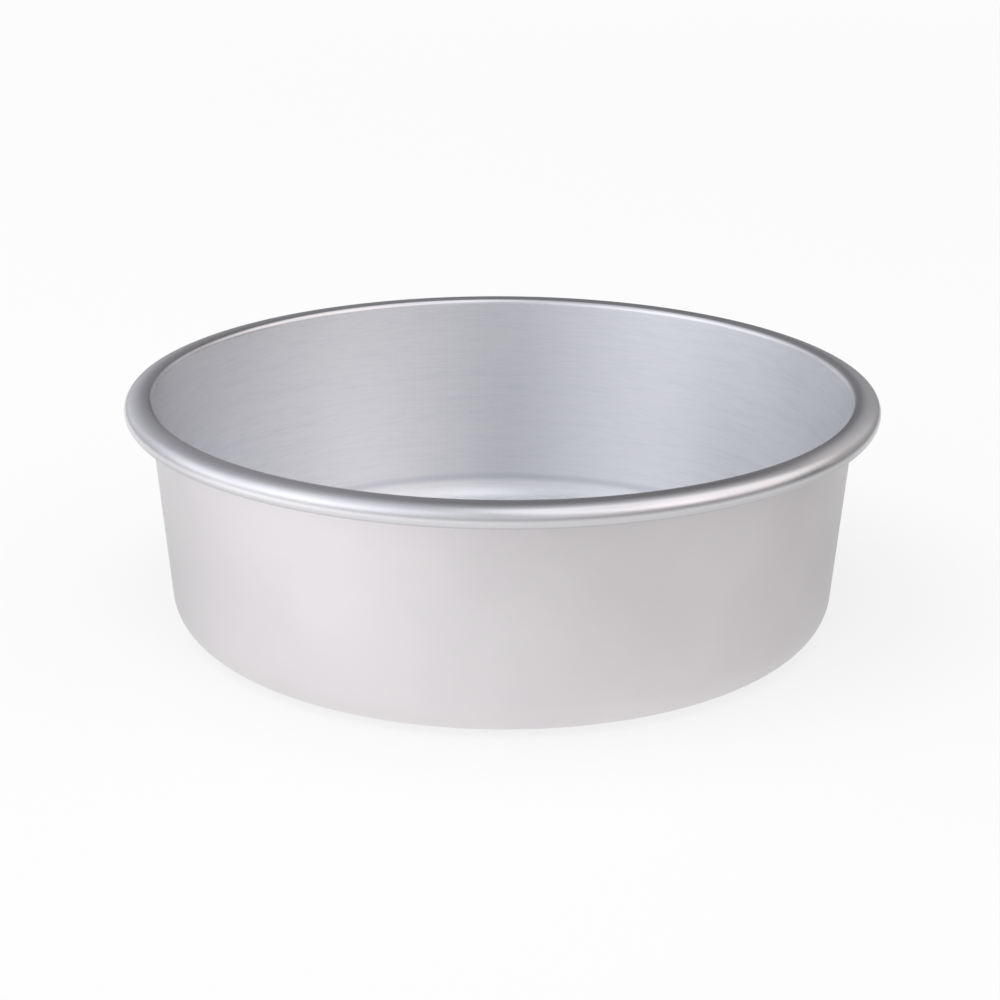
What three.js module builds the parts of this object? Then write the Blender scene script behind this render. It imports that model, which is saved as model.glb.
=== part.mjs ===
// A deep round cake pan, drawn and spun from one disc of aluminium sheet: a flat floor, a rounded bottom
// corner, a wall that leans outwards so that the cake slips out, and a thick rim. At the top of the wall the
// sheet bends outwards over a tight lip, runs over a gentle crown and is rolled round a hoop of wire, which
// keeps the mouth round.
// Millimetres, +Z up. The origin is the centre of the underside, and +Z is the axis of the pan.

import * as THREE from "three";

// Driving dimensions, in millimetres, with the lean and the turns in degrees.
const MOUTH_DIAMETER = 200; // clear width between the inner sides of the rim
const PAN_HEIGHT = 68; // from the underside to the top of the rim
const SHEET = 1.2; // thickness of the aluminium
const WALL_LEAN = 4.6; // between the wall and the upright
const CORNER_RADIUS = 9; // inside bend between the floor and the wall
const LIP_RADIUS = 1.6; // bend from the wall to the top of the rim, on the face that is seen
const CROWN_RADIUS = 7.5; // gentle curve over the top of the rim
const CROWN_TURN_IN = 15; // from the top of the rim back to the lip
const CROWN_TURN_OUT = 25; // from the top of the rim out to the roll
const WIRE_DIAMETER = 3; // hoop inside the rolled rim
const WIRE_CLEARANCE = 0.3; // all round, between the wire and the sheet rolled over it
const ROLL_TURN = 285; // from the top of the rim, outwards and under, to the cut edge of the sheet

// Fineness of the facets.
const ROUND_STEPS = 96; // round the axis of the pan
const CORNER_STEPS = 6; // along the bend of the bottom corner
const LIP_STEPS = 4; // along the bend at the top of the wall
const CROWN_STEPS = 8; // over the top of the rim
const ROLL_STEPS = 12; // along the rolled rim
const WIRE_SIDES = 16; // round the section of the wire

const RIGHT_ANGLE = Math.PI / 2;
const FULL_TURN = 2 * Math.PI;
const lean = THREE.MathUtils.degToRad(WALL_LEAN);
const crownStart = RIGHT_ANGLE + THREE.MathUtils.degToRad(CROWN_TURN_IN);
const crownEnd = RIGHT_ANGLE - THREE.MathUtils.degToRad(CROWN_TURN_OUT);
const cutEdge = RIGHT_ANGLE - THREE.MathUtils.degToRad(ROLL_TURN);

// The sections below are drawn in a half plane: x is the distance from the axis and y is the height.
// Angles start from straight outwards and grow upwards.

function spoke(angle, length) {
  return new THREE.Vector2(Math.cos(angle), Math.sin(angle)).multiplyScalar(length);
}

// The wall runs tangent into the lip, the lip into the crown, and the crown into the roll round the wire.
const rollInside = WIRE_DIAMETER / 2 + WIRE_CLEARANCE;
const rollOutside = rollInside + SHEET;
const lipFromCrown = spoke(crownStart, CROWN_RADIUS - LIP_RADIUS);
const lipDistance = MOUTH_DIAMETER / 2 + LIP_RADIUS;
const crownCentre = new THREE.Vector2(lipDistance - lipFromCrown.x, PAN_HEIGHT - CROWN_RADIUS);
const lipCentre = crownCentre.clone().add(lipFromCrown);
const rollCentre = crownCentre.clone().add(spoke(crownEnd, CROWN_RADIUS - rollOutside));

// The bottom corner bends round a centre that is one radius from the floor and one from the wall.
const cornerHeight = SHEET + CORNER_RADIUS;
const dropToCorner = lipCentre.y - cornerHeight;
const offsetFromLip = LIP_RADIUS + CORNER_RADIUS;
const cornerInset = (dropToCorner * Math.sin(lean) + offsetFromLip) / Math.cos(lean);
const cornerCentre = new THREE.Vector2(lipCentre.x - cornerInset, cornerHeight);

function arc(centre, radius, fromAngle, toAngle, steps) {
  const points = [];
  for (let i = 0; i <= steps; i += 1) {
    const angle = THREE.MathUtils.lerp(fromAngle, toAngle, i / steps);
    points.push(spoke(angle, radius).add(centre));
  }
  return points;
}

function revolve(section) {
  const geometry = new THREE.LatheGeometry(section, ROUND_STEPS);
  return geometry.rotateX(RIGHT_ANGLE);
}

// The sheet is followed along its outer face from the middle of the underside, up the wall, under the lip and
// the crown and round the inside of the roll to the cut edge, and back along its inner face to the middle of
// the floor. Where one bend runs into the next, they share a point, and the second leaves it out.
function makePanShell() {
  const down = -RIGHT_ANGLE;
  const squareToWall = -lean;
  const wallSide = Math.PI - lean;
  const section = [
    new THREE.Vector2(0, 0),
    ...arc(cornerCentre, CORNER_RADIUS + SHEET, down, squareToWall, CORNER_STEPS),
    ...arc(lipCentre, LIP_RADIUS - SHEET, wallSide, crownStart, LIP_STEPS),
    ...arc(crownCentre, CROWN_RADIUS - SHEET, crownStart, crownEnd, CROWN_STEPS).slice(1),
    ...arc(rollCentre, rollInside, crownEnd, cutEdge, ROLL_STEPS).slice(1),
    ...arc(rollCentre, rollOutside, cutEdge, crownEnd, ROLL_STEPS),
    ...arc(crownCentre, CROWN_RADIUS, crownEnd, crownStart, CROWN_STEPS).slice(1),
    ...arc(lipCentre, LIP_RADIUS, crownStart, wallSide, LIP_STEPS).slice(1),
    ...arc(cornerCentre, CORNER_RADIUS, squareToWall, down, CORNER_STEPS),
    new THREE.Vector2(0, SHEET),
  ];
  const satinAluminium = new THREE.MeshStandardMaterial({ color: 0xd3d1d4, roughness: 0.38, metalness: 1 });
  const shell = new THREE.Mesh(revolve(section), satinAluminium);
  shell.name = "pan_shell";
  return shell;
}

// The hoop lies in the middle of the roll, with its ends welded into a ring.
function makeRimWire() {
  const section = arc(rollCentre, WIRE_DIAMETER / 2, 0, FULL_TURN, WIRE_SIDES);
  const drawnSteel = new THREE.MeshStandardMaterial({ color: 0x8c8b89, roughness: 0.45, metalness: 1 });
  const wire = new THREE.Mesh(revolve(section), drawnSteel);
  wire.name = "rim_wire";
  return wire;
}

const cakePan = new THREE.Group();
cakePan.add(makePanShell(), makeRimWire());

export default cakePan;
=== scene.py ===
# %% [markdown]
# # A spun aluminium cake pan
#
# The pan is one disc of aluminium sheet, drawn into a bowl and spun on a lathe, with its edge rolled over a
# hoop of wire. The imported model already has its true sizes, so this lesson only gives it a smooth skin and
# its finishes, and then a small studio to look at it in.

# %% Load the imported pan
import math

import bpy
from mathutils import Matrix, Vector


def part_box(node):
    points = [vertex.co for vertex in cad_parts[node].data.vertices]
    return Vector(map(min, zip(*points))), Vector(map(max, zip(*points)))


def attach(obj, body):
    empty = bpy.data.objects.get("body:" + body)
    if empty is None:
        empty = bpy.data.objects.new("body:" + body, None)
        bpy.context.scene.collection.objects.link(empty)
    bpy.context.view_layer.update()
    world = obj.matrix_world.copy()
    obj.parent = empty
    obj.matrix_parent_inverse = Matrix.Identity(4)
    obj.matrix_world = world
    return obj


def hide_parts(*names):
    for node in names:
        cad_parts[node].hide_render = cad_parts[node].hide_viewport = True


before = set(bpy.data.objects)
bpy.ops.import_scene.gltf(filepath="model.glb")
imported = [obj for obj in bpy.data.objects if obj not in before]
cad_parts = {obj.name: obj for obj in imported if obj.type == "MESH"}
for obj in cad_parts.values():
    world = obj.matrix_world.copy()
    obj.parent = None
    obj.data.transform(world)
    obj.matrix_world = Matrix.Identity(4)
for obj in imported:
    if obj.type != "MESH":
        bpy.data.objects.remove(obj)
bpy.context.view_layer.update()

# %% [markdown]
# ## The camera
#
# The photograph looks down at the pan from a little above its rim, from close enough that the near side is
# clearly larger than the far side. Four numbers settle that: how high the camera looks from, how far off it
# stands, the point on the pan that it aims at, and the length of its lens. A camera that is turned by hand
# would drift each time, so its matrix is worked out from those numbers.

# %% Camera
MILLIMETRE = 0.001
VIEW_HEIGHT = math.radians(19.25)
VIEW_DISTANCE = 647 * MILLIMETRE
AIM_POINT = Vector((-0.6, 0, 32.4)) * MILLIMETRE
CAMERA_ROLL = 0.0048
LENS_MM = 79.25
SENSOR_MM = 36.0

camera_data = bpy.data.cameras.new("studio_camera")
camera_data.lens = LENS_MM
camera_data.sensor_width = SENSOR_MM
camera = bpy.data.objects.new("studio_camera", camera_data)
bpy.context.scene.collection.objects.link(camera)
bpy.context.scene.camera = camera

towards_camera = Vector((0, -math.cos(VIEW_HEIGHT), math.sin(VIEW_HEIGHT)))
camera.matrix_world = (
    Matrix.Translation(AIM_POINT + towards_camera * VIEW_DISTANCE)
    @ towards_camera.to_track_quat("Z", "Y").to_matrix().to_4x4()
    @ Matrix.Rotation(CAMERA_ROLL, 4, "Z")
)
print("camera at", [round(c, 3) for c in camera.matrix_world.translation])

# %% [markdown]
# ## Nodes written as sums
#
# Both the shape and the finishes below are node trees. A tree is easier to read as a formula than as a list
# of links, so this small class wraps a socket: adding or multiplying two of them adds the Math node that
# does it. Every other kind of node comes from `add`, which sets the node's own settings first, because some
# of them change which sockets it has.

# %% Sockets with arithmetic
class Field:
    """An output socket of a node tree, on which arithmetic adds Math nodes."""

    def __init__(self, socket):
        self.socket = socket
        self.tree = socket.id_data

    @classmethod
    def add(cls, tree, kind, settings=None, sockets=None, output=0):
        node = tree.nodes.new(kind)
        for name, value in (settings or {}).items():
            setattr(node, name, value)
        for name, value in (sockets or {}).items():
            if isinstance(value, cls):
                tree.links.new(value.socket, node.inputs[name])
            else:
                node.inputs[name].default_value = value
        return cls(node.outputs[output]) if node.outputs else None

    def other(self, output):
        return Field(self.socket.node.outputs[output])

    def math(self, operation, *others):
        return self.sums(operation, self, *others)

    def sums(self, operation, *values):
        return Field.add(self.tree, "ShaderNodeMath", {"operation": operation}, dict(enumerate(values)))

    def __add__(self, value):
        return self.math("ADD", value)

    def __radd__(self, value):
        return self.sums("ADD", value, self)

    def __sub__(self, value):
        return self.math("SUBTRACT", value)

    def __rsub__(self, value):
        return self.sums("SUBTRACT", value, self)

    def __mul__(self, value):
        return self.math("MULTIPLY", value)

    def __rmul__(self, value):
        return self.sums("MULTIPLY", value, self)

    def __truediv__(self, value):
        return self.math("DIVIDE", value)

    def __rtruediv__(self, value):
        return self.sums("DIVIDE", value, self)

    def sin(self):
        return self.math("SINE")

    def cos(self):
        return self.math("COSINE")

    def root(self):
        return self.math("SQRT")

    def rounded(self):
        return self.math("ROUND")

    def size(self):
        return self.math("ABSOLUTE")

    def above(self, value):
        return self.math("GREATER_THAN", value)

    def below(self, value):
        return self.math("LESS_THAN", value)

    def largest(self, value):
        return self.math("MAXIMUM", value)

    def between(self, low, high, smooth=True):
        """0 below low, 1 above high, and a slope between them."""
        settings = {"interpolation_type": "SMOOTHSTEP" if smooth else "LINEAR"}
        return Field.add(self.tree, "ShaderNodeMapRange", settings, {0: self, 1: low, 2: high})


MIX_FIRST, MIX_SECOND, MIX_RESULT = 6, 7, 2  # the colour sockets of a Mix node


def blend_colours(factor, first, second):
    settings = {"data_type": "RGBA"}
    sockets = {"Factor": factor, MIX_FIRST: first, MIX_SECOND: second}
    return Field.add(factor.tree, "ShaderNodeMix", settings, sockets, output=MIX_RESULT)


def vector_of(tree, x, y, z):
    return Field.add(tree, "ShaderNodeCombineXYZ", sockets={0: x, 1: y, 2: z})


print("node helper ready")

# %% [markdown]
# ## Sizes of the sheet
#
# The hoop of wire gives the middle of the roll, and the outside of the pan gives the roll's radius and the
# top of the rim. The rest of the section follows from the thickness of the sheet, the lean of the wall and
# the radii of its bends, since each stretch runs tangent into the next. Headings are measured from straight
# outwards: the wall heads nearly straight up, the crown starts a little upwards and ends a little
# downwards, and the roll turns on until it nearly meets the wall.

# %% Section sizes
SHEET = 1.2 * MILLIMETRE
WALL_LEAN = math.radians(4.6)
CORNER_RADIUS = 9 * MILLIMETRE
LIP_RADIUS = 1.6 * MILLIMETRE
CROWN_RADIUS = 7.5 * MILLIMETRE
CROWN_START = math.radians(15)
CROWN_END = math.radians(-25)
ROLL_END = math.radians(-285)

rim_reach, _, rim_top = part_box("pan_shell")[1]
wire_low, wire_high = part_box("rim_wire")
roll_distance = wire_high.x - (wire_high.z - wire_low.z) / 2
roll_radius = rim_reach - roll_distance
crown_distance = roll_distance + (CROWN_RADIUS - roll_radius) * math.sin(CROWN_END)
lip_distance = crown_distance - (CROWN_RADIUS - LIP_RADIUS) * math.sin(CROWN_START)
lip_height = rim_top - CROWN_RADIUS + (CROWN_RADIUS - LIP_RADIUS) * math.cos(CROWN_START)

lean_sin, lean_cos = math.sin(WALL_LEAN), math.cos(WALL_LEAN)
drop = lip_height - SHEET - CORNER_RADIUS
spread = LIP_RADIUS + CORNER_RADIUS
floor_radius = lip_distance - (drop * lean_sin + spread) / lean_cos
wall_length = (drop + spread * lean_sin) / lean_cos
wall_turn = math.pi / 2 - WALL_LEAN
lip_start = floor_radius + CORNER_RADIUS * wall_turn + wall_length
for name, length in (("floor radius", floor_radius), ("wall", wall_length), ("roll radius", roll_radius)):
    print(name, round(length / MILLIMETRE, 2), "mm")

# %% [markdown]
# ## The sheet as a rule
#
# Walk along the sheet from the middle of the floor: a straight stretch, a bend upwards, a straight stretch,
# a tight bend outwards, a gentle crown, and a roll that goes down and nearly closes on itself. Each stretch
# adds its own step to the distance from the axis and to the height, so the section is a sum of six parts,
# each clamped to its own share of the way. It could be drawn as a curve and spun with a Screw modifier, but
# as a rule in Geometry Nodes the two faces of the sheet come from one formula with different radii, and
# every point also knows how far along the sheet it lies, which the brushed finish needs later.
#
# The tree starts from a flat grid. One way across it is the turn round the axis. The other way runs out
# along the outer face to the cut edge of the roll, and back along the inner face.

# %% Geometry Nodes tree of the pan
STRETCH_STEPS = [14, 16, 20, 10, 16, 40]  # floor, corner, wall, lip, crown and roll
FACE_STEPS = sum(STRETCH_STEPS)
ROWS = 2 * FACE_STEPS + 2
ROUND_STEPS = 288
SHARP_EDGE = math.radians(40)
WELD = 0.002 * MILLIMETRE
WHOLLY_INNER = 0.75  # a face at the cut edge has half of its corners on the inner face of the sheet

SIZES = {
    "Sheet": SHEET,
    "Floor Radius": floor_radius,
    "Corner Radius": CORNER_RADIUS,
    "Wall Turn": wall_turn,
    "Wall Length": wall_length,
    "Lip Radius": LIP_RADIUS,
    "Crown Radius": CROWN_RADIUS,
    "Crown Start": CROWN_START,
    "Crown End": CROWN_END,
    "Roll Radius": roll_radius,
    "Roll End": ROLL_END,
}


def shares_of(step):
    """How much of each stretch lies behind a step along the sheet, from 0 to 1."""
    ends = [sum(STRETCH_STEPS[:count + 1]) for count in range(len(STRETCH_STEPS))]
    return [step.between(end - steps, end, smooth=False) for end, steps in zip(ends, STRETCH_STEPS)]


def bend_over(face_radius, heading, new_heading):
    """How far a bend that turns downwards goes outwards and up, from one heading to another."""
    outwards = face_radius * (heading.sin() - new_heading.sin())
    upwards = face_radius * (new_heading.cos() - heading.cos())
    return outwards, upwards


def pan_tree(outer_finish, inner_finish):
    tree = bpy.data.node_groups.new("spun_pan", "GeometryNodeTree")
    tree.interface.new_socket("Geometry", in_out="OUTPUT", socket_type="NodeSocketGeometry")
    for name in SIZES:
        tree.interface.new_socket(name, in_out="INPUT", socket_type="NodeSocketFloat")
    given = tree.nodes.new("NodeGroupInput")
    sizes = [Field(given.outputs[name]) for name in SIZES]
    sheet, floor, corner, wall_bend, wall, lip, crown, crown_start, crown_end, roll, roll_end = sizes

    counts = {"Vertices X": ROUND_STEPS + 1, "Vertices Y": ROWS}
    grid = Field.add(tree, "GeometryNodeMeshGrid", sockets=counts)
    across = Field.add(tree, "ShaderNodeSeparateXYZ", sockets={0: grid.other("UV Map")})
    turn = across * (2 * math.pi)
    row = (across.other("Y") * (ROWS - 1)).rounded()
    inner = row.above(FACE_STEPS)
    outer = 1 - inner
    turn_back = FACE_STEPS + 0.5
    step = turn_back - (row - turn_back).size()

    on_floor, on_corner, on_wall, on_lip, on_crown, on_roll = shares_of(step)
    flat = on_floor * floor
    bend = on_corner * wall_bend
    rise = on_wall * wall
    corner_face = corner + sheet * outer
    radius = flat + corner_face * bend.sin() + rise * wall_bend.cos()
    height = sheet * inner + corner_face * (1 - bend.cos()) + rise * wall_bend.sin()
    along = flat + corner * bend + rise
    for face, share, start, end in (
        (lip, on_lip, wall_bend, crown_start),
        (crown, on_crown, crown_start, crown_end),
        (roll, on_roll, crown_end, roll_end),
    ):
        heading = start + share * (end - start)
        outwards, upwards = bend_over(face - sheet * outer, start, heading)
        radius = radius + outwards
        height = height + upwards
        along = along + face * (start - heading)

    spot = vector_of(tree, radius * turn.cos(), radius * turn.sin(), height)
    shape = grid
    number = {"data_type": "FLOAT"}
    for name, value in (("along_sheet", along), ("inner_face", inner)):
        words = {"Geometry": shape, "Name": name, "Value": value}
        shape = Field.add(tree, "GeometryNodeStoreNamedAttribute", number, words)
    shape = Field.add(tree, "GeometryNodeSetPosition", sockets={"Geometry": shape, "Position": spot})
    shape = Field.add(tree, "GeometryNodeMergeByDistance", sockets={"Geometry": shape, "Distance": WELD})
    soft = Field.add(tree, "GeometryNodeInputMeshEdgeAngle").below(SHARP_EDGE)
    smooth = {"Geometry": shape, "Shade Smooth": soft}
    shape = Field.add(tree, "GeometryNodeSetShadeSmooth", {"domain": "EDGE"}, smooth)
    shape = Field.add(tree, "GeometryNodeRealizeInstances", sockets={0: shape})

    stored = Field.add(tree, "GeometryNodeInputNamedAttribute", number, {"Name": "inner_face"})
    shape = Field.add(tree, "GeometryNodeSetMaterial", sockets={"Geometry": shape, "Material": outer_finish})
    inside = {"Geometry": shape, "Selection": stored.above(WHOLLY_INNER), "Material": inner_finish}
    shape = Field.add(tree, "GeometryNodeSetMaterial", sockets=inside)
    result = tree.nodes.new("NodeGroupOutput")
    tree.links.new(shape.socket, result.inputs[0])
    return tree


print("section of", ROWS, "rows, turned through", ROUND_STEPS, "steps")

# %% [markdown]
# ## Brushed inside
#
# The inside was turned against an abrasive, so it is covered in fine rings. Such grooves spread a
# reflection across them and hardly along them, which gives the wall its broad upright bands and the floor
# its fan of light. The shader's anisotropy does that. The lines themselves are noise that is stretched
# round the pan: its place is the direction from the axis, which changes slowly, and the distance along the
# sheet, which changes fast. The floor was finished finer than the wall, and the rim was burnished smooth,
# so the roughness changes where the corner and the lip begin. A faint dark ring is painted where the
# corner starts to turn, as painted shade. The underside of the roll is painted darker too, as painted
# shade under the roll.

# %% Brushed inside
ALUMINIUM_INSIDE = (0.957, 0.962, 0.985, 1)
ALUMINIUM_INSIDE_DEEP = (0.89, 0.898, 0.93, 1)
# painted shade: a darker ring where the corner starts to turn
ALUMINIUM_CORNER_SHADE = (0.77, 0.78, 0.825, 1)
ALUMINIUM_RIM = (0.87, 0.86, 0.895, 1)
# painted shade: the underside of the roll is darker
ALUMINIUM_UNDER_ROLL_SHADE = (0.715, 0.705, 0.73, 1)
INSIDE_ANISOTROPY = 0.87
ACROSS_GROOVES = 0.25
WALL_ROUGHNESS = 0.48
FLOOR_ROUGHNESS = 0.27
RIM_ROUGHNESS = 0.26
WALL_START, WALL_FULL = 4 * MILLIMETRE, 10 * MILLIMETRE
# where along the corner the ring of painted shade lies, and how far it spreads
CORNER_SHADE_AT, CORNER_SHADE_REACH = 11.6 * MILLIMETRE, 1.9 * MILLIMETRE
RIM_BLEND = 0.2 * MILLIMETRE
# where along the roll its painted shade begins and where it is full
UNDER_ROLL_SHADE_START, UNDER_ROLL_SHADE_FULL = 9 * MILLIMETRE, 12 * MILLIMETRE
FINE_LINES = {"line_width": 0.35 * MILLIMETRE, "reach": 14.0, "detail": 3.0, "seed": 1.7}
BROAD_LINES = {"line_width": 2.2 * MILLIMETRE, "reach": 2.5, "detail": 2.0, "seed": 8.3}
FINE_SHARE, BROAD_SHARE = 0.65, 0.35
LINE_LOW, LINE_HIGH = 0.32, 0.62
LINE_ROUGHNESS, RIM_LINE_ROUGHNESS = 0.22, 0.05
GROOVE_STRENGTH, GROOVE_DEPTH = 0.5, 0.05 * MILLIMETRE
NOISE_MIDDLE = 0.5


def fresh_material(name):
    material = bpy.data.materials.new(name)
    material.use_nodes = True
    material.node_tree.nodes.clear()
    return material, material.node_tree


def finish_material(tree, shader_sockets):
    shader = Field.add(tree, "ShaderNodeBsdfPrincipled", sockets=shader_sockets)
    Field.add(tree, "ShaderNodeOutputMaterial", sockets={"Surface": shader})


def along_sheet(tree):
    return Field.add(tree, "ShaderNodeAttribute", {"attribute_name": "along_sheet"}, output="Fac")


def place_about_axis(tree):
    """A point's place to the right and to the back, and its distance from the pan's axis."""
    place = Field.add(tree, "ShaderNodeTexCoord", output="Object")
    x = Field.add(tree, "ShaderNodeSeparateXYZ", sockets={0: place})
    y = x.other("Y")
    return x, y, (x * x + y * y).root()


def ring_noise(tree, line_width, reach, detail, seed):
    """Noise in rings about the axis: line_width across the rings, and finer round them as reach grows."""
    x, y, from_axis = place_about_axis(tree)
    radius = from_axis.largest(MILLIMETRE)
    spot = vector_of(tree, x / radius * reach + seed, y / radius * reach, along_sheet(tree) / line_width)
    return Field.add(tree, "ShaderNodeTexNoise", sockets={"Vector": spot, "Scale": 1.0, "Detail": detail})


def brushed_inside():
    material, tree = fresh_material("brushed_inside")
    fine = ring_noise(tree, **FINE_LINES)
    broad = ring_noise(tree, **BROAD_LINES)
    wall = along_sheet(tree).between(floor_radius + WALL_START, floor_radius + WALL_FULL)
    rim = along_sheet(tree).between(lip_start - RIM_BLEND, lip_start + RIM_BLEND)
    lines = fine * FINE_SHARE + broad * BROAD_SHARE
    worn = lines - NOISE_MIDDLE
    brushed = FLOOR_ROUGHNESS + wall * (WALL_ROUGHNESS - FLOOR_ROUGHNESS) + worn * LINE_ROUGHNESS
    rough = brushed * (1 - rim) + (RIM_ROUGHNESS + worn * RIM_LINE_ROUGHNESS) * rim
    inside = blend_colours(lines.between(LINE_LOW, LINE_HIGH), ALUMINIUM_INSIDE_DEEP, ALUMINIUM_INSIDE)
    # the ring of painted shade in the corner
    off_corner_shade = (along_sheet(tree) - (floor_radius + CORNER_SHADE_AT)).size().between(0, CORNER_SHADE_REACH)
    inside = blend_colours(off_corner_shade, ALUMINIUM_CORNER_SHADE, inside)
    # painted shade under the roll
    under_roll_shade = along_sheet(tree).between(lip_start + UNDER_ROLL_SHADE_START, lip_start + UNDER_ROLL_SHADE_FULL)
    colour = blend_colours(under_roll_shade, blend_colours(rim, inside, ALUMINIUM_RIM), ALUMINIUM_UNDER_ROLL_SHADE)
    depth = {"Strength": GROOVE_STRENGTH, "Distance": GROOVE_DEPTH, "Height": lines * (1 - rim)}
    groove = Field.add(tree, "ShaderNodeBump", sockets=depth)
    finish_material(
        tree,
        {
            "Base Color": colour,
            "Metallic": 1.0,
            "Roughness": rough,
            "Anisotropic": INSIDE_ANISOTROPY,
            "Anisotropic Rotation": ACROSS_GROOVES,
            "Normal": groove,
        },
    )
    return material


inner_finish = brushed_inside()
print("inner finish:", inner_finish.name, "with", len(inner_finish.node_tree.nodes), "nodes")

# %% [markdown]
# ## Satin outside
#
# The outer face was left as the drawing tool and a light etch made it: an even satin with no lines to speak
# of, only a fine tooth and some cloudiness. Two sizes of noise do that. The small one roughens and dents
# the surface, and the large one shifts its roughness and its colour a little.

# %% Satin outside
ALUMINIUM_OUTSIDE = (0.803, 0.774, 0.792, 1)
ALUMINIUM_OUTSIDE_CLOUD = (0.773, 0.744, 0.762, 1)
OUTSIDE_ROUGHNESS = 0.46
OUTSIDE_ANISOTROPY = 0.25
TOOTH = {"Scale": 2600.0, "Detail": 3.0}
CLOUD = {"Scale": 22.0, "Detail": 4.0}
SPUN_LINES = {"line_width": 1.1 * MILLIMETRE, "reach": 3.0, "detail": 2.0, "seed": 4.1}
CLOUD_LOW, CLOUD_HIGH = 0.35, 0.7
CLOUD_ROUGHNESS, TOOTH_ROUGHNESS, SPUN_ROUGHNESS = 0.10, 0.10, 0.06
TOOTH_STRENGTH, TOOTH_DEPTH = 0.12, 0.02 * MILLIMETRE
SPUN_HEIGHT = 0.5


def satin_outside():
    material, tree = fresh_material("satin_outside")
    place = Field.add(tree, "ShaderNodeTexCoord", output="Object")
    tooth = Field.add(tree, "ShaderNodeTexNoise", sockets={"Vector": place, **TOOTH})
    cloud = Field.add(tree, "ShaderNodeTexNoise", sockets={"Vector": place, **CLOUD})
    spun = ring_noise(tree, **SPUN_LINES)
    clouded = cloud.between(CLOUD_LOW, CLOUD_HIGH)
    colour = blend_colours(clouded, ALUMINIUM_OUTSIDE, ALUMINIUM_OUTSIDE_CLOUD)
    rough = OUTSIDE_ROUGHNESS
    for noise, change in ((cloud, CLOUD_ROUGHNESS), (tooth, TOOTH_ROUGHNESS), (spun, SPUN_ROUGHNESS)):
        rough = rough + (noise - NOISE_MIDDLE) * change
    depth = {"Strength": TOOTH_STRENGTH, "Distance": TOOTH_DEPTH, "Height": tooth + spun * SPUN_HEIGHT}
    bump = Field.add(tree, "ShaderNodeBump", sockets=depth)
    finish_material(
        tree,
        {
            "Base Color": colour,
            "Metallic": 1.0,
            "Roughness": rough,
            "Anisotropic": OUTSIDE_ANISOTROPY,
            "Anisotropic Rotation": ACROSS_GROOVES,
            "Normal": bump,
        },
    )
    return material


outer_finish = satin_outside()
print("outer finish:", outer_finish.name, "with", len(outer_finish.node_tree.nodes), "nodes")

# %% [markdown]
# ## The pan
#
# The tree goes on an empty mesh as a modifier, with its sizes set by each input's identifier before
# anything looks at the result. The evaluated mesh is then kept as a plain mesh, because the pan doesn't
# change again.

# %% Make the pan
EMPTY_SLOT = 0  # a grid starts with one slot that holds no material


def spin_pan():
    draft = bpy.data.objects.new("pan_draft", bpy.data.meshes.new("pan_draft"))
    bpy.context.scene.collection.objects.link(draft)
    modifier = draft.modifiers.new("spun_pan", "NODES")
    tree = pan_tree(outer_finish, inner_finish)
    modifier.node_group = tree
    for item in tree.interface.items_tree:
        if item.in_out == "INPUT":
            modifier[item.identifier] = SIZES[item.name]
    scene_graph = bpy.context.evaluated_depsgraph_get()
    mesh = bpy.data.meshes.new_from_object(draft.evaluated_get(scene_graph), depsgraph=scene_graph)
    bpy.data.objects.remove(draft)
    mesh.materials.pop(index=EMPTY_SLOT)
    pan = bpy.data.objects.new("spun_pan", mesh)
    bpy.context.scene.collection.objects.link(pan)
    return pan


pan = spin_pan()
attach(pan, "root")
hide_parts("pan_shell")
print("pan:", len(pan.data.polygons), "faces,", [slot.name for slot in pan.data.materials])

# %% [markdown]
# ## The wire in the rim
#
# The hoop is hidden inside the roll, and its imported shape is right, so it only gets the look of drawn
# steel: a grey that is duller and rougher in some places than in others.

# %% Drawn steel wire
STEEL = (0.42, 0.42, 0.41, 1)
STEEL_DULL = (0.30, 0.29, 0.28, 1)
MOTTLE = {"Scale": 160.0, "Detail": 4.0}
MOTTLE_LOW, MOTTLE_HIGH = 0.4, 0.65
STEEL_ROUGHNESS, MOTTLE_ROUGHNESS = 0.34, 0.2


def drawn_steel():
    material, tree = fresh_material("drawn_steel")
    place = Field.add(tree, "ShaderNodeTexCoord", output="Object")
    mottle = Field.add(tree, "ShaderNodeTexNoise", sockets={"Vector": place, **MOTTLE})
    colour = blend_colours(mottle.between(MOTTLE_LOW, MOTTLE_HIGH), STEEL, STEEL_DULL)
    rough = STEEL_ROUGHNESS + mottle * MOTTLE_ROUGHNESS
    finish_material(tree, {"Base Color": colour, "Metallic": 1.0, "Roughness": rough})
    return material


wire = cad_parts["rim_wire"]
wire.data.materials.clear()
wire.data.materials.append(drawn_steel())
print("wire finish:", wire.data.materials[0].name)

# %% [markdown]
# ## The floor
#
# The pan stands on a sheet of paper that is lit up to white. The paper itself is grey, so that it throws
# little light back up at the pan. Wherever the camera or a reflection sees it, it adds light of its own, so
# it comes out white at a plain level of light and still keeps the pan's shadow. The lamp reaches less of
# the paper far off, so there the paper adds a little more.

# %% Floor
FLOOR_SIZE = 12.0
PAPER_GREY = (0.25, 0.25, 0.25, 1)
PAPER_FILL = 0.726
FAR_FILL, FAR_START, FAR_FULL = 0.065, 0.2, 3.0


def lit_paper():
    material, tree = fresh_material("lit_paper")
    path = Field.add(tree, "ShaderNodeLightPath", output="Is Camera Ray")
    seen = path.largest(path.other("Is Glossy Ray")).largest(path.other("Is Transmission Ray"))
    paper = Field.add(tree, "ShaderNodeBsdfDiffuse", sockets={"Color": PAPER_GREY})
    _, _, from_pan = place_about_axis(tree)
    fill = PAPER_FILL + FAR_FILL * from_pan.between(FAR_START, FAR_FULL)
    glow = Field.add(tree, "ShaderNodeEmission", sockets={"Color": seen * fill})
    both = Field.add(tree, "ShaderNodeAddShader", sockets={0: paper, 1: glow})
    Field.add(tree, "ShaderNodeOutputMaterial", sockets={"Surface": both})
    return material


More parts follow.
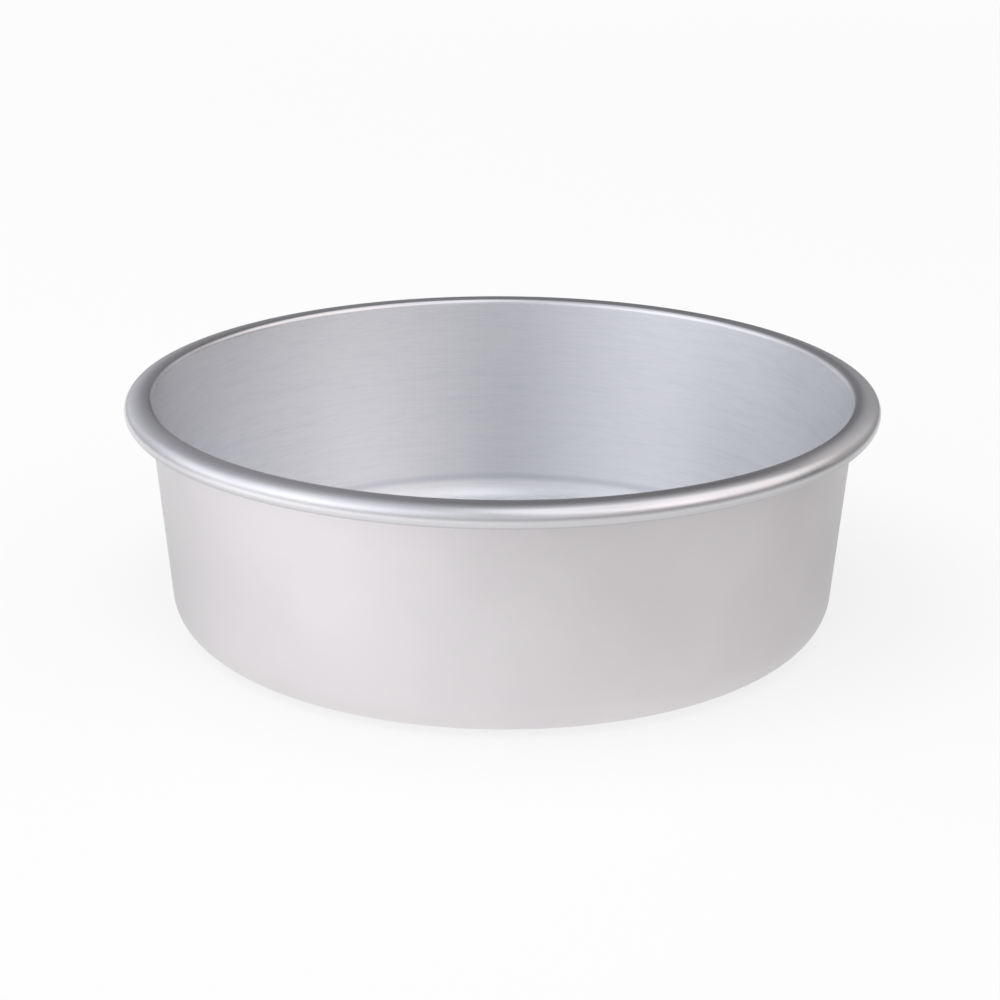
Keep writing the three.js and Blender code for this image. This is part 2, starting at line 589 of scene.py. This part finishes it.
def square_sheet(name, side, height, material):
    half = side / 2
    corners = [(-half, -half, height), (half, -half, height), (half, half, height), (-half, half, height)]
    mesh = bpy.data.meshes.new(name)
    mesh.from_pydata(corners, [], [range(len(corners))])
    mesh.materials.append(material)
    sheet = bpy.data.objects.new(name, mesh)
    bpy.context.scene.collection.objects.link(sheet)
    return sheet


floor = square_sheet("floor", FLOOR_SIZE, 0, lit_paper())
print("floor", FLOOR_SIZE, "m across")

# %% [markdown]
# ## A shaded card under the pan
#
# Metal shows what lies round it, and an even white floor would leave the wall without any shape. On a real
# table the light falls in a pool: the paper is brightest at the left, greyer towards the right and the
# back, darker again close to the pan, and it fades into a dim room. This card has those tones. Only
# reflections see it, so the picture keeps its white ground.

# %% Shaded card
CARD_HEIGHT = 0.5 * MILLIMETRE
POOL_X, POOL_Y = -0.16, 0.30
POOL_IN, POOL_OUT = 0.35, 0.76
POOL_BRIGHT, POOL_DIM = 1.50, 0.31
SIDE_SHADE, SIDE_IN, SIDE_OUT = 0.10, -0.12, 0.12
BACK_SHADE, BACK_IN, BACK_OUT = 0.40, -0.16, 0.04
NEAR_SHADE, NEAR_IN, NEAR_OUT = 0.24, 0.149, 0.192


def shaded_card():
    material, tree = fresh_material("shaded_card")
    x, y, from_pan = place_about_axis(tree)
    from_pool = ((x - POOL_X) * (x - POOL_X) + (y - POOL_Y) * (y - POOL_Y)).root()
    tone = POOL_BRIGHT - (POOL_BRIGHT - POOL_DIM) * from_pool.between(POOL_IN, POOL_OUT)
    tone = tone * (1 - SIDE_SHADE * x.between(SIDE_IN, SIDE_OUT))
    tone = tone * (1 - BACK_SHADE * y.between(BACK_IN, BACK_OUT))
    tone = tone * (1 - NEAR_SHADE + NEAR_SHADE * from_pan.between(NEAR_IN, NEAR_OUT))
    glow = Field.add(tree, "ShaderNodeEmission", sockets={"Color": tone})
    Field.add(tree, "ShaderNodeOutputMaterial", sockets={"Surface": glow})
    return material


card = square_sheet("shaded_card", FLOOR_SIZE, CARD_HEIGHT, shaded_card())
card.visible_camera = False
card.visible_diffuse = False
card.visible_shadow = False
print("card", FLOOR_SIZE, "m across, seen by reflections only")

# %% [markdown]
# ## The room
#
# The room is a sum of soft patches of light: high windows at the left and the right, a pale wall in front,
# light that spills in low from the left and the right behind the pan, and a dim patch over the camera. What
# is left is the dark back of the room, which draws the dark line along the top of the rim. Each patch is
# placed by two angles, as on a globe, and fades with the cosine of the angle away from its middle: it
# begins at one cosine and is full at another. The dim patch takes light away, so its strength is below
# zero.

# %% World
ROOM_DARK = 0.08
PATCHES = {  # degrees to the right of the front, degrees up, begins, full and strength
    "left window": (-75, 49, 0.46, 0.94, 0.67),
    "right window": (77, 53, 0.64, 0.89, 0.96),
    "pale wall in front": (-34, 5, 0.06, 1.0, 0.71),
    "front at the right": (37, 34, 0.83, 0.94, 0.28),
    "front": (0, 44, 0.87, 0.98, 0.12),
    "low behind at the left": (-127, -10, 0.57, 0.89, 0.44),
    "low behind at the right": (140, 3, 0.80, 0.86, 0.26),
    "behind at the right": (142, 28, 0.92, 1.0, 0.22),
    "behind at the left": (-157, 20, 0.86, 0.96, 0.16),
    "dim over the camera": (-8, 56, 0.64, 1.0, -0.41),
}
COOL_LEFT = (0.95, 0.965, 1.0, 1)
WARM_RIGHT = (1.0, 0.955, 0.94, 1)
COOL_UNTIL, WARM_FROM = -0.1, 0.8
CAMERA_WHITE = (1, 1, 1, 1)


def direction(to_right, up):
    across = math.cos(math.radians(up))
    turn = math.radians(to_right)
    return Vector((across * math.sin(turn), -across * math.cos(turn), math.sin(math.radians(up))))


def room_light(tree):
    ray = Field.add(tree, "ShaderNodeTexCoord", output="Generated")
    light = ROOM_DARK
    for to_right, up, begins, full, strength in PATCHES.values():
        both = {0: ray, 1: direction(to_right, up)}
        dot = {"operation": "DOT_PRODUCT"}
        facing = Field.add(tree, "ShaderNodeVectorMath", dot, both, output="Value")
        light = light + facing.between(begins, full) * strength
    sideways = Field.add(tree, "ShaderNodeSeparateXYZ", sockets={0: ray})
    tint = blend_colours(sideways.between(COOL_UNTIL, WARM_FROM), COOL_LEFT, WARM_RIGHT)
    camera_ray = Field.add(tree, "ShaderNodeLightPath", output="Is Camera Ray")
    colour = blend_colours(camera_ray, tint, CAMERA_WHITE)
    strength = light.largest(0) * (1 - camera_ray) + camera_ray
    glow = Field.add(tree, "ShaderNodeBackground", sockets={"Color": colour, "Strength": strength})
    Field.add(tree, "ShaderNodeOutputWorld", sockets={"Surface": glow})


world = bpy.data.worlds.new("studio")
world.use_nodes = True
world.node_tree.nodes.clear()
room_light(world.node_tree)
bpy.context.scene.world = world
print("room with", len(PATCHES), "patches of light")

# %% [markdown]
# ## The ceiling panel
#
# One large soft panel over the pan lights the floor and gives the pan its soft shadow. The metal doesn't
# show it, because the ceiling over the rim in the photograph is dim.

# %% Ceiling panel
PANEL_SIZE = 2.0
PANEL_WATTS = 14.0
PANEL_PLACE = Vector((-0.5, -0.4, 1.8))

panel_data = bpy.data.lights.new("ceiling_panel", "AREA")
panel_data.shape = "SQUARE"
panel_data.size = PANEL_SIZE
panel_data.energy = PANEL_WATTS
panel = bpy.data.objects.new("ceiling_panel", panel_data)
panel.location = PANEL_PLACE
panel.rotation_euler = PANEL_PLACE.to_track_quat("Z", "Y").to_euler()
panel.visible_glossy = False
bpy.context.scene.collection.objects.link(panel)
bpy.context.scene.view_settings.view_transform = "Standard"
print("ceiling panel of", PANEL_WATTS, "W")
